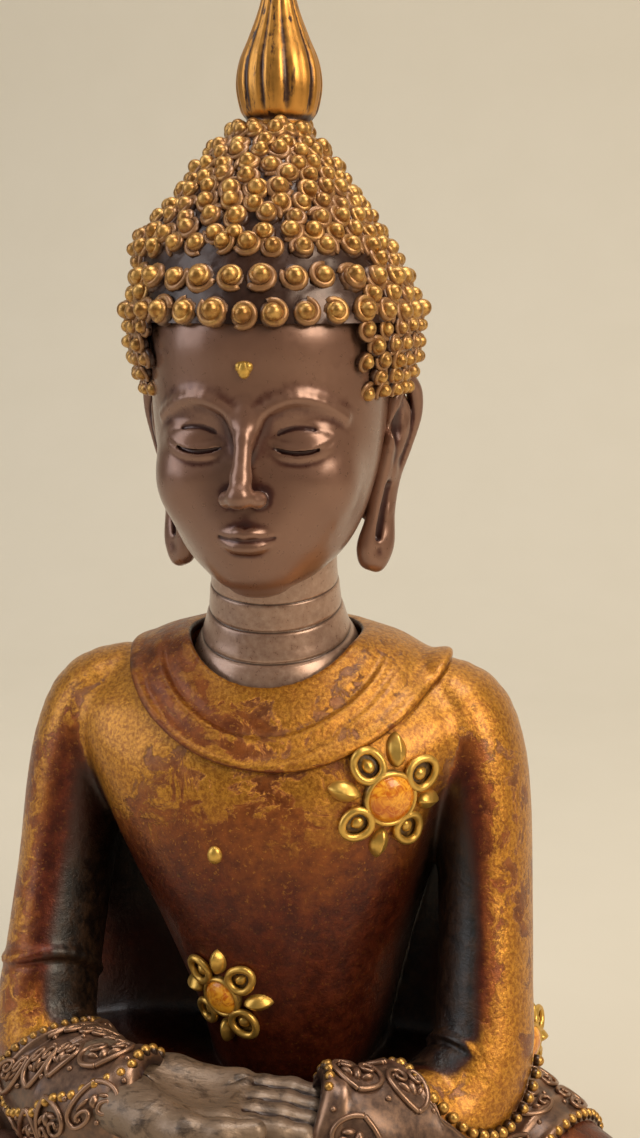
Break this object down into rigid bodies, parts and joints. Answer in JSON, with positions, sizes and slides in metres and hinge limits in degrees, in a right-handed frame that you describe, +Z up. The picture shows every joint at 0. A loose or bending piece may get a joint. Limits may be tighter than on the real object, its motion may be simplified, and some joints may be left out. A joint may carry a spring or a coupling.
{
  "type": "buddha statue",
  "caption": "Cross-legged meditating figure with snail-curl hair, a flame finial, jewelled flowers on its robe, and hands resting palm up in the lap.",
  "frame": {"origin": "middle of the flat underside, on the upright line through the neck", "axes": "+Z up, the figure faces -Y, its own left hand is on +X"},
  "size_m": [0.1516, 0.09, 0.245],
  "materials": {
    "robe_gold": "satin antique gold paint rubbed over red-brown resin",
    "skin_bronze": "satin bronze-brown metallic paint",
    "dark_bronze": "satin dark bronze paint with rubbed highlights",
    "bright_gold": "satin gold paint with brown wash",
    "amber_stone": "polished translucent amber resin cabochon",
    "felt": "dense felt",
    "stopper": "moulded rubber"
  },
  "bodies": {
    "root": {"felt_pad": "felt", "pour_plug": "stopper", "seat": "robe_gold", "right_leg": "robe_gold", "left_leg": "robe_gold", "right_foot": "dark_bronze", "left_foot": "dark_bronze", "torso": "robe_gold", "robe_back": "robe_gold", "right_arm": "robe_gold", "left_arm": "robe_gold", "collar": "robe_gold", "neck": "skin_bronze", "head": "skin_bronze", "right_ear": "skin_bronze", "left_ear": "skin_bronze", "hair_cap": "dark_bronze", "flame_finial": "bright_gold", "urna": "bright_gold", "chest_flower": "bright_gold", "chest_stone": "amber_stone", "belly_flower": "bright_gold", "belly_stone": "amber_stone", "side_flower": "bright_gold", "side_stone": "amber_stone", "chest_stud": "bright_gold", "right_cuff": "dark_bronze", "left_cuff": "dark_bronze", "right_cuff_beads": "bright_gold", "left_cuff_beads": "bright_gold", "right_thigh_band": "dark_bronze", "left_thigh_band": "dark_bronze", "right_band_beads": "bright_gold", "left_band_beads": "bright_gold", "right_hand": "dark_bronze", "left_hand": "dark_bronze", "curl_row_01": "bright_gold", "curl_row_02": "bright_gold", "curl_row_03": "bright_gold", "curl_row_04": "bright_gold", "curl_row_05": "bright_gold", "curl_row_06": "bright_gold", "curl_row_07": "bright_gold", "curl_row_08": "bright_gold", "curl_row_09": "bright_gold", "curl_row_10": "bright_gold", "curl_row_11": "bright_gold", "curl_row_12": "bright_gold", "curl_row_13": "bright_gold", "curl_row_14": "bright_gold", "curl_row_15": "bright_gold"}
  },
  "joints": []
}
